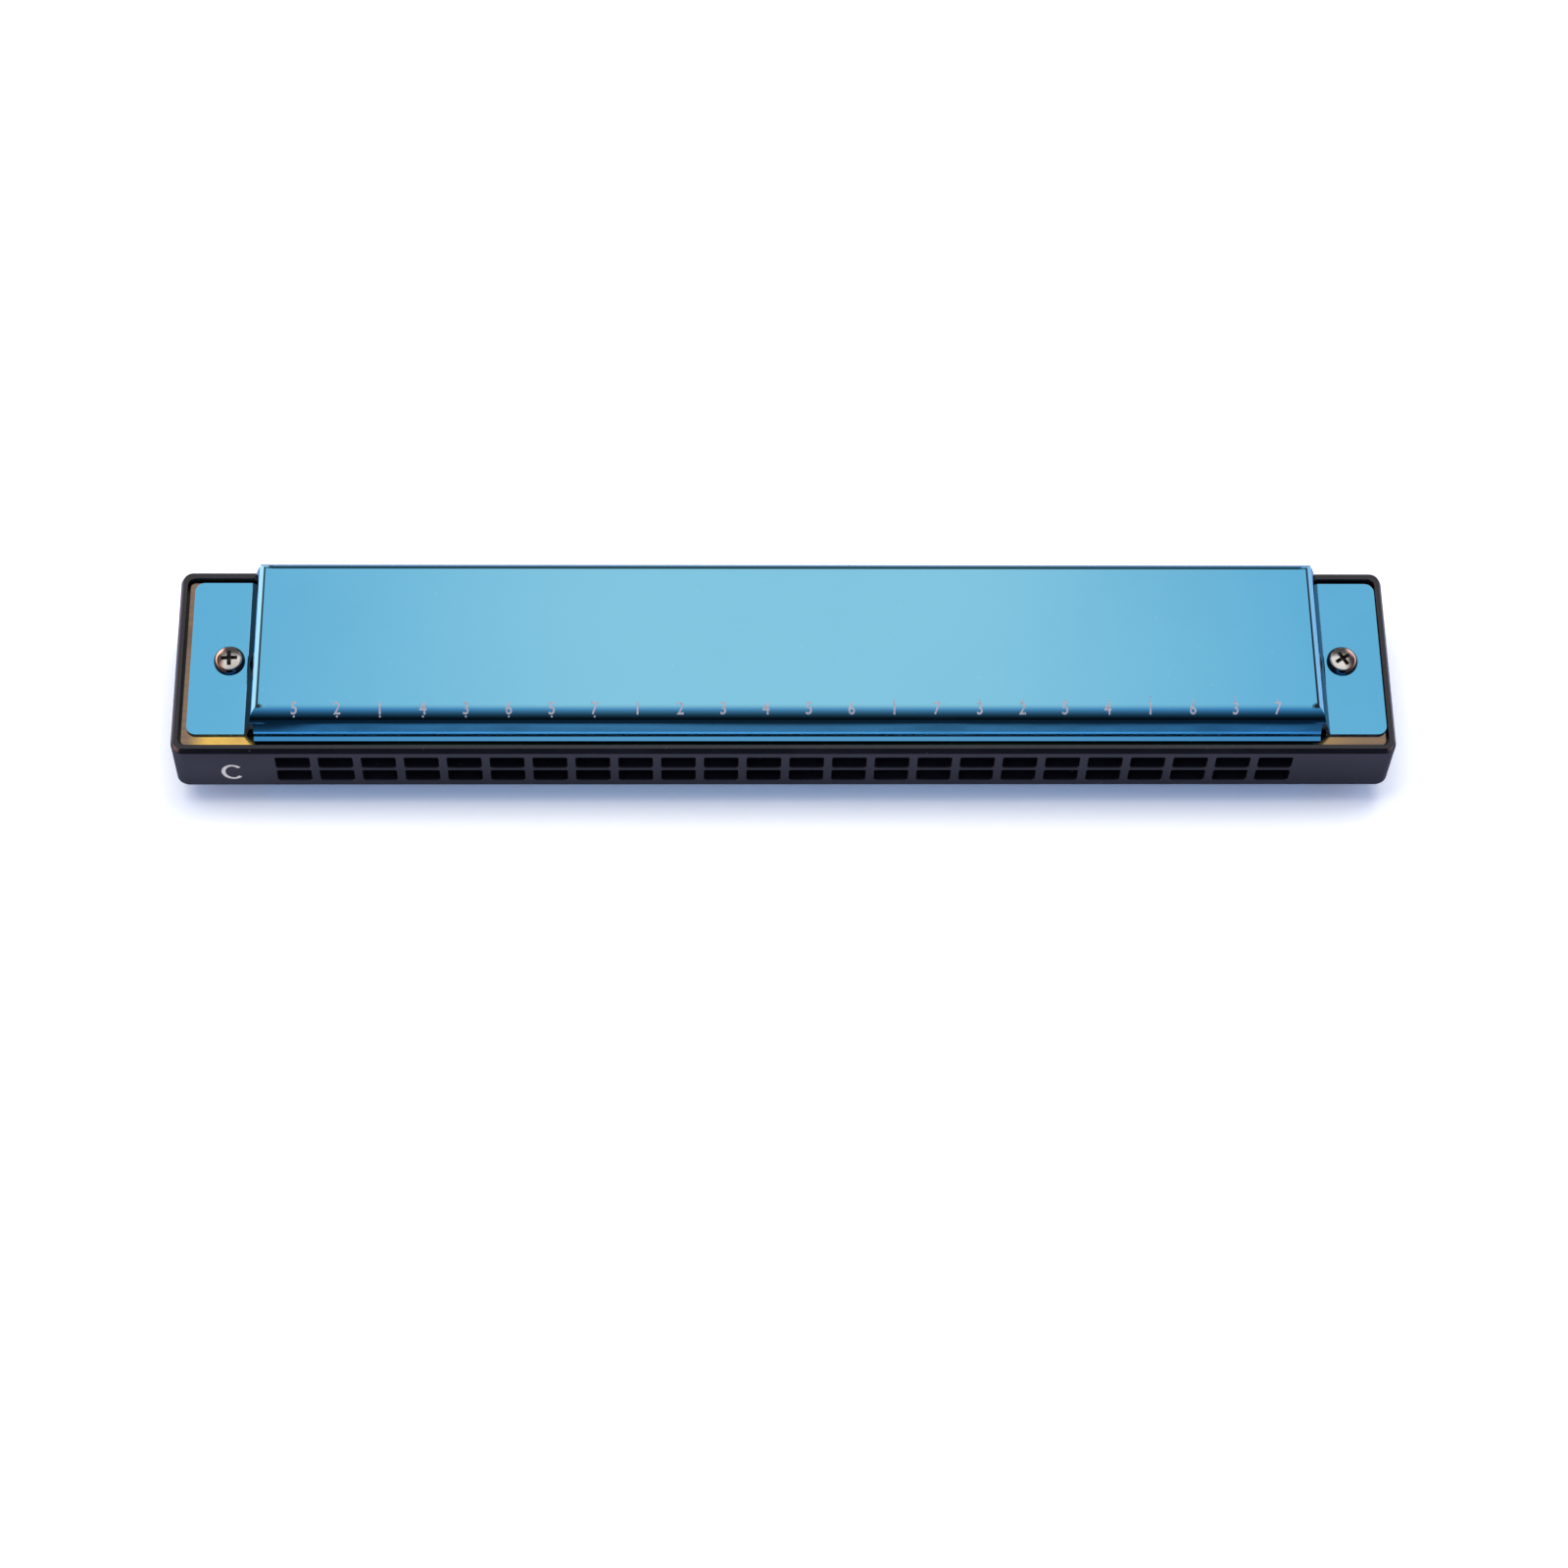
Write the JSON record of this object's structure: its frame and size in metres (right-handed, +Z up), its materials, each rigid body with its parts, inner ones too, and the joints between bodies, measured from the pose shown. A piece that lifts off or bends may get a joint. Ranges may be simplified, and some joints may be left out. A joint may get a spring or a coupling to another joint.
{
  "type": "tremolo harmonica",
  "caption": "Tremolo harmonica with a black comb, paired rows of mouth holes, blue mirror-finished folded covers, brass reed plates and riveted reeds.",
  "frame": {"origin": "middle of the lower cover's flat face, which the harmonica lies on, under the centre of the comb", "axes": "+X along the length from the low notes to the high ones, +Y from the mouth holes to the back, +Z up from the lower cover to the upper one"},
  "size_m": [0.18, 0.0308, 0.0206],
  "materials": {
    "comb_plastic": "satin",
    "plate_brass": "satin",
    "reed_brass": "polished",
    "blue_cover_steel": "polished",
    "screw_nickel": "polished"
  },
  "bodies": {
    "harmonica": {"comb": "comb_plastic", "upper_reed_plate": "plate_brass", "lower_reed_plate": "plate_brass", "upper_cover": "blue_cover_steel", "lower_cover": "blue_cover_steel", "upper_left_screw": "screw_nickel", "upper_right_screw": "screw_nickel", "lower_left_screw": "screw_nickel", "lower_right_screw": "screw_nickel"},
    "upper_reed_01": {"upper_reed_01": "reed_brass"},
    "upper_reed_02": {"upper_reed_02": "reed_brass"},
    "upper_reed_03": {"upper_reed_03": "reed_brass"},
    "upper_reed_04": {"upper_reed_04": "reed_brass"},
    "upper_reed_05": {"upper_reed_05": "reed_brass"},
    "upper_reed_06": {"upper_reed_06": "reed_brass"},
    "upper_reed_07": {"upper_reed_07": "reed_brass"},
    "upper_reed_08": {"upper_reed_08": "reed_brass"},
    "upper_reed_09": {"upper_reed_09": "reed_brass"},
    "upper_reed_10": {"upper_reed_10": "reed_brass"},
    "upper_reed_11": {"upper_reed_11": "reed_brass"},
    "upper_reed_12": {"upper_reed_12": "reed_brass"},
    "upper_reed_13": {"upper_reed_13": "reed_brass"},
    "upper_reed_14": {"upper_reed_14": "reed_brass"},
    "upper_reed_15": {"upper_reed_15": "reed_brass"},
    "upper_reed_16": {"upper_reed_16": "reed_brass"},
    "upper_reed_17": {"upper_reed_17": "reed_brass"},
    "upper_reed_18": {"upper_reed_18": "reed_brass"},
    "upper_reed_19": {"upper_reed_19": "reed_brass"},
    "upper_reed_20": {"upper_reed_20": "reed_brass"},
    "upper_reed_21": {"upper_reed_21": "reed_brass"},
    "upper_reed_22": {"upper_reed_22": "reed_brass"},
    "upper_reed_23": {"upper_reed_23": "reed_brass"},
    "upper_reed_24": {"upper_reed_24": "reed_brass"},
    "lower_reed_01": {"lower_reed_01": "reed_brass"},
    "lower_reed_02": {"lower_reed_02": "reed_brass"},
    "lower_reed_03": {"lower_reed_03": "reed_brass"},
    "lower_reed_04": {"lower_reed_04": "reed_brass"},
    "lower_reed_05": {"lower_reed_05": "reed_brass"},
    "lower_reed_06": {"lower_reed_06": "reed_brass"},
    "lower_reed_07": {"lower_reed_07": "reed_brass"},
    "lower_reed_08": {"lower_reed_08": "reed_brass"},
    "lower_reed_09": {"lower_reed_09": "reed_brass"},
    "lower_reed_10": {"lower_reed_10": "reed_brass"},
    "lower_reed_11": {"lower_reed_11": "reed_brass"},
    "lower_reed_12": {"lower_reed_12": "reed_brass"},
    "lower_reed_13": {"lower_reed_13": "reed_brass"},
    "lower_reed_14": {"lower_reed_14": "reed_brass"},
    "lower_reed_15": {"lower_reed_15": "reed_brass"},
    "lower_reed_16": {"lower_reed_16": "reed_brass"},
    "lower_reed_17": {"lower_reed_17": "reed_brass"},
    "lower_reed_18": {"lower_reed_18": "reed_brass"},
    "lower_reed_19": {"lower_reed_19": "reed_brass"},
    "lower_reed_20": {"lower_reed_20": "reed_brass"},
    "lower_reed_21": {"lower_reed_21": "reed_brass"},
    "lower_reed_22": {"lower_reed_22": "reed_brass"},
    "lower_reed_23": {"lower_reed_23": "reed_brass"},
    "lower_reed_24": {"lower_reed_24": "reed_brass"}
  },
  "joints": [
    {"name": "upper_reed_01_flex", "type": "hinge", "parent": "harmonica", "child": "upper_reed_01", "pos_m": [-0.07233, 0.0082, 0.0141], "axis": [1, 0, 0], "range_deg": [-3, 3], "stiffness_Nm_per_rad": 0.0128},
    {"name": "upper_reed_02_flex", "type": "hinge", "parent": "harmonica", "child": "upper_reed_02", "pos_m": [-0.06605, -0.0102, 0.015], "axis": [1, 0, 0], "range_deg": [-3, 3], "stiffness_Nm_per_rad": 0.0274},
    {"name": "upper_reed_03_flex", "type": "hinge", "parent": "harmonica", "child": "upper_reed_03", "pos_m": [-0.05976, 0.00759, 0.0141], "axis": [1, 0, 0], "range_deg": [-3, 3], "stiffness_Nm_per_rad": 0.0207},
    {"name": "upper_reed_04_flex", "type": "hinge", "parent": "harmonica", "child": "upper_reed_04", "pos_m": [-0.05346, -0.0102, 0.015], "axis": [1, 0, 0], "range_deg": [-3, 3], "stiffness_Nm_per_rad": 0.0351},
    {"name": "upper_reed_05_flex", "type": "hinge", "parent": "harmonica", "child": "upper_reed_05", "pos_m": [-0.04718, 0.00698, 0.0141], "axis": [1, 0, 0], "range_deg": [-3, 3], "stiffness_Nm_per_rad": 0.0297},
    {"name": "upper_reed_06_flex", "type": "hinge", "parent": "harmonica", "child": "upper_reed_06", "pos_m": [-0.04088, -0.0102, 0.015], "axis": [1, 0, 0], "range_deg": [-3, 3], "stiffness_Nm_per_rad": 0.0503},
    {"name": "upper_reed_07_flex", "type": "hinge", "parent": "harmonica", "child": "upper_reed_07", "pos_m": [-0.0346, 0.00637, 0.0141], "axis": [1, 0, 0], "range_deg": [-3, 3], "stiffness_Nm_per_rad": 0.0379},
    {"name": "upper_reed_08_flex", "type": "hinge", "parent": "harmonica", "child": "upper_reed_08", "pos_m": [-0.02831, -0.0102, 0.015], "axis": [1, 0, 0], "range_deg": [-3, 3], "stiffness_Nm_per_rad": 0.0571},
    {"name": "upper_reed_09_flex", "type": "hinge", "parent": "harmonica", "child": "upper_reed_09", "pos_m": [-0.02201, 0.00577, 0.0141], "axis": [1, 0, 0], "range_deg": [-3, 3], "stiffness_Nm_per_rad": 0.0608},
    {"name": "upper_reed_10_flex", "type": "hinge", "parent": "harmonica", "child": "upper_reed_10", "pos_m": [-0.01572, -0.0102, 0.015], "axis": [1, 0, 0], "range_deg": [-3, 3], "stiffness_Nm_per_rad": 0.0725},
    {"name": "upper_reed_11_flex", "type": "hinge", "parent": "harmonica", "child": "upper_reed_11", "pos_m": [-0.00944, 0.00516, 0.0141], "axis": [1, 0, 0], "range_deg": [-3, 3], "stiffness_Nm_per_rad": 0.0865},
    {"name": "upper_reed_12_flex", "type": "hinge", "parent": "harmonica", "child": "upper_reed_12", "pos_m": [-0.00314, -0.0102, 0.015], "axis": [1, 0, 0], "range_deg": [-3, 3], "stiffness_Nm_per_rad": 0.0917},
    {"name": "upper_reed_13_flex", "type": "hinge", "parent": "harmonica", "child": "upper_reed_13", "pos_m": [0.00314, 0.00455, 0.0141], "axis": [1, 0, 0], "range_deg": [-3, 3], "stiffness_Nm_per_rad": 0.109},
    {"name": "upper_reed_14_flex", "type": "hinge", "parent": "harmonica", "child": "upper_reed_14", "pos_m": [0.00944, -0.0102, 0.015], "axis": [1, 0, 0], "range_deg": [-3, 3], "stiffness_Nm_per_rad": 0.13},
    {"name": "upper_reed_15_flex", "type": "hinge", "parent": "harmonica", "child": "upper_reed_15", "pos_m": [0.01572, 0.00394, 0.0141], "axis": [1, 0, 0], "range_deg": [-3, 3], "stiffness_Nm_per_rad": 0.173},
    {"name": "upper_reed_16_flex", "type": "hinge", "parent": "harmonica", "child": "upper_reed_16", "pos_m": [0.02201, -0.0102, 0.015], "axis": [1, 0, 0], "range_deg": [-3, 3], "stiffness_Nm_per_rad": 0.145},
    {"name": "upper_reed_17_flex", "type": "hinge", "parent": "harmonica", "child": "upper_reed_17", "pos_m": [0.02831, 0.00333, 0.0141], "axis": [1, 0, 0], "range_deg": [-3, 3], "stiffness_Nm_per_rad": 0.242},
    {"name": "upper_reed_18_flex", "type": "hinge", "parent": "harmonica", "child": "upper_reed_18", "pos_m": [0.0346, -0.0102, 0.015], "axis": [1, 0, 0], "range_deg": [-3, 3], "stiffness_Nm_per_rad": 0.181},
    {"name": "upper_reed_19_flex", "type": "hinge", "parent": "harmonica", "child": "upper_reed_19", "pos_m": [0.04088, 0.00272, 0.0141], "axis": [1, 0, 0], "range_deg": [-3, 3], "stiffness_Nm_per_rad": 0.302},
    {"name": "upper_reed_20_flex", "type": "hinge", "parent": "harmonica", "child": "upper_reed_20", "pos_m": [0.04718, -0.0102, 0.015], "axis": [1, 0, 0], "range_deg": [-3, 3], "stiffness_Nm_per_rad": 0.224},
    {"name": "upper_reed_21_flex", "type": "hinge", "parent": "harmonica", "child": "upper_reed_21", "pos_m": [0.05346, 0.00211, 0.0141], "axis": [1, 0, 0], "range_deg": [-3, 3], "stiffness_Nm_per_rad": 0.47},
    {"name": "upper_reed_22_flex", "type": "hinge", "parent": "harmonica", "child": "upper_reed_22", "pos_m": [0.05976, -0.0102, 0.015], "axis": [1, 0, 0], "range_deg": [-3, 3], "stiffness_Nm_per_rad": 0.31},
    {"name": "upper_reed_23_flex", "type": "hinge", "parent": "harmonica", "child": "upper_reed_23", "pos_m": [0.06605, 0.0015, 0.0141], "axis": [1, 0, 0], "range_deg": [-3, 3], "stiffness_Nm_per_rad": 0.649},
    {"name": "upper_reed_24_flex", "type": "hinge", "parent": "harmonica", "child": "upper_reed_24", "pos_m": [0.07233, -0.0102, 0.015], "axis": [1, 0, 0], "range_deg": [-3, 3], "stiffness_Nm_per_rad": 0.339},
    {"name": "lower_reed_01_flex", "type": "hinge", "parent": "harmonica", "child": "lower_reed_01", "pos_m": [-0.07233, 0.0082, 0.0065], "axis": [1, 0, 0], "range_deg": [-3, 3], "stiffness_Nm_per_rad": 0.0128},
    {"name": "lower_reed_02_flex", "type": "hinge", "parent": "harmonica", "child": "lower_reed_02", "pos_m": [-0.06605, -0.0102, 0.0056], "axis": [1, 0, 0], "range_deg": [-3, 3], "stiffness_Nm_per_rad": 0.0274},
    {"name": "lower_reed_03_flex", "type": "hinge", "parent": "harmonica", "child": "lower_reed_03", "pos_m": [-0.05976, 0.00759, 0.0065], "axis": [1, 0, 0], "range_deg": [-3, 3], "stiffness_Nm_per_rad": 0.0207},
    {"name": "lower_reed_04_flex", "type": "hinge", "parent": "harmonica", "child": "lower_reed_04", "pos_m": [-0.05346, -0.0102, 0.0056], "axis": [1, 0, 0], "range_deg": [-3, 3], "stiffness_Nm_per_rad": 0.0351},
    {"name": "lower_reed_05_flex", "type": "hinge", "parent": "harmonica", "child": "lower_reed_05", "pos_m": [-0.04718, 0.00698, 0.0065], "axis": [1, 0, 0], "range_deg": [-3, 3], "stiffness_Nm_per_rad": 0.0297},
    {"name": "lower_reed_06_flex", "type": "hinge", "parent": "harmonica", "child": "lower_reed_06", "pos_m": [-0.04088, -0.0102, 0.0056], "axis": [1, 0, 0], "range_deg": [-3, 3], "stiffness_Nm_per_rad": 0.0503},
    {"name": "lower_reed_07_flex", "type": "hinge", "parent": "harmonica", "child": "lower_reed_07", "pos_m": [-0.0346, 0.00637, 0.0065], "axis": [1, 0, 0], "range_deg": [-3, 3], "stiffness_Nm_per_rad": 0.0379},
    {"name": "lower_reed_08_flex", "type": "hinge", "parent": "harmonica", "child": "lower_reed_08", "pos_m": [-0.02831, -0.0102, 0.0056], "axis": [1, 0, 0], "range_deg": [-3, 3], "stiffness_Nm_per_rad": 0.0571},
    {"name": "lower_reed_09_flex", "type": "hinge", "parent": "harmonica", "child": "lower_reed_09", "pos_m": [-0.02201, 0.00577, 0.0065], "axis": [1, 0, 0], "range_deg": [-3, 3], "stiffness_Nm_per_rad": 0.0608},
    {"name": "lower_reed_10_flex", "type": "hinge", "parent": "harmonica", "child": "lower_reed_10", "pos_m": [-0.01572, -0.0102, 0.0056], "axis": [1, 0, 0], "range_deg": [-3, 3], "stiffness_Nm_per_rad": 0.0725},
    {"name": "lower_reed_11_flex", "type": "hinge", "parent": "harmonica", "child": "lower_reed_11", "pos_m": [-0.00944, 0.00516, 0.0065], "axis": [1, 0, 0], "range_deg": [-3, 3], "stiffness_Nm_per_rad": 0.0865},
    {"name": "lower_reed_12_flex", "type": "hinge", "parent": "harmonica", "child": "lower_reed_12", "pos_m": [-0.00314, -0.0102, 0.0056], "axis": [1, 0, 0], "range_deg": [-3, 3], "stiffness_Nm_per_rad": 0.0917},
    {"name": "lower_reed_13_flex", "type": "hinge", "parent": "harmonica", "child": "lower_reed_13", "pos_m": [0.00314, 0.00455, 0.0065], "axis": [1, 0, 0], "range_deg": [-3, 3], "stiffness_Nm_per_rad": 0.109},
    {"name": "lower_reed_14_flex", "type": "hinge", "parent": "harmonica", "child": "lower_reed_14", "pos_m": [0.00944, -0.0102, 0.0056], "axis": [1, 0, 0], "range_deg": [-3, 3], "stiffness_Nm_per_rad": 0.13},
    {"name": "lower_reed_15_flex", "type": "hinge", "parent": "harmonica", "child": "lower_reed_15", "pos_m": [0.01572, 0.00394, 0.0065], "axis": [1, 0, 0], "range_deg": [-3, 3], "stiffness_Nm_per_rad": 0.173},
    {"name": "lower_reed_16_flex", "type": "hinge", "parent": "harmonica", "child": "lower_reed_16", "pos_m": [0.02201, -0.0102, 0.0056], "axis": [1, 0, 0], "range_deg": [-3, 3], "stiffness_Nm_per_rad": 0.145},
    {"name": "lower_reed_17_flex", "type": "hinge", "parent": "harmonica", "child": "lower_reed_17", "pos_m": [0.02831, 0.00333, 0.0065], "axis": [1, 0, 0], "range_deg": [-3, 3], "stiffness_Nm_per_rad": 0.242},
    {"name": "lower_reed_18_flex", "type": "hinge", "parent": "harmonica", "child": "lower_reed_18", "pos_m": [0.0346, -0.0102, 0.0056], "axis": [1, 0, 0], "range_deg": [-3, 3], "stiffness_Nm_per_rad": 0.181},
    {"name": "lower_reed_19_flex", "type": "hinge", "parent": "harmonica", "child": "lower_reed_19", "pos_m": [0.04088, 0.00272, 0.0065], "axis": [1, 0, 0], "range_deg": [-3, 3], "stiffness_Nm_per_rad": 0.302},
    {"name": "lower_reed_20_flex", "type": "hinge", "parent": "harmonica", "child": "lower_reed_20", "pos_m": [0.04718, -0.0102, 0.0056], "axis": [1, 0, 0], "range_deg": [-3, 3], "stiffness_Nm_per_rad": 0.224},
    {"name": "lower_reed_21_flex", "type": "hinge", "parent": "harmonica", "child": "lower_reed_21", "pos_m": [0.05346, 0.00211, 0.0065], "axis": [1, 0, 0], "range_deg": [-3, 3], "stiffness_Nm_per_rad": 0.47},
    {"name": "lower_reed_22_flex", "type": "hinge", "parent": "harmonica", "child": "lower_reed_22", "pos_m": [0.05976, -0.0102, 0.0056], "axis": [1, 0, 0], "range_deg": [-3, 3], "stiffness_Nm_per_rad": 0.31},
    {"name": "lower_reed_23_flex", "type": "hinge", "parent": "harmonica", "child": "lower_reed_23", "pos_m": [0.06605, 0.0015, 0.0065], "axis": [1, 0, 0], "range_deg": [-3, 3], "stiffness_Nm_per_rad": 0.649},
    {"name": "lower_reed_24_flex", "type": "hinge", "parent": "harmonica", "child": "lower_reed_24", "pos_m": [0.07233, -0.0102, 0.0056], "axis": [1, 0, 0], "range_deg": [-3, 3], "stiffness_Nm_per_rad": 0.339}
  ]
}
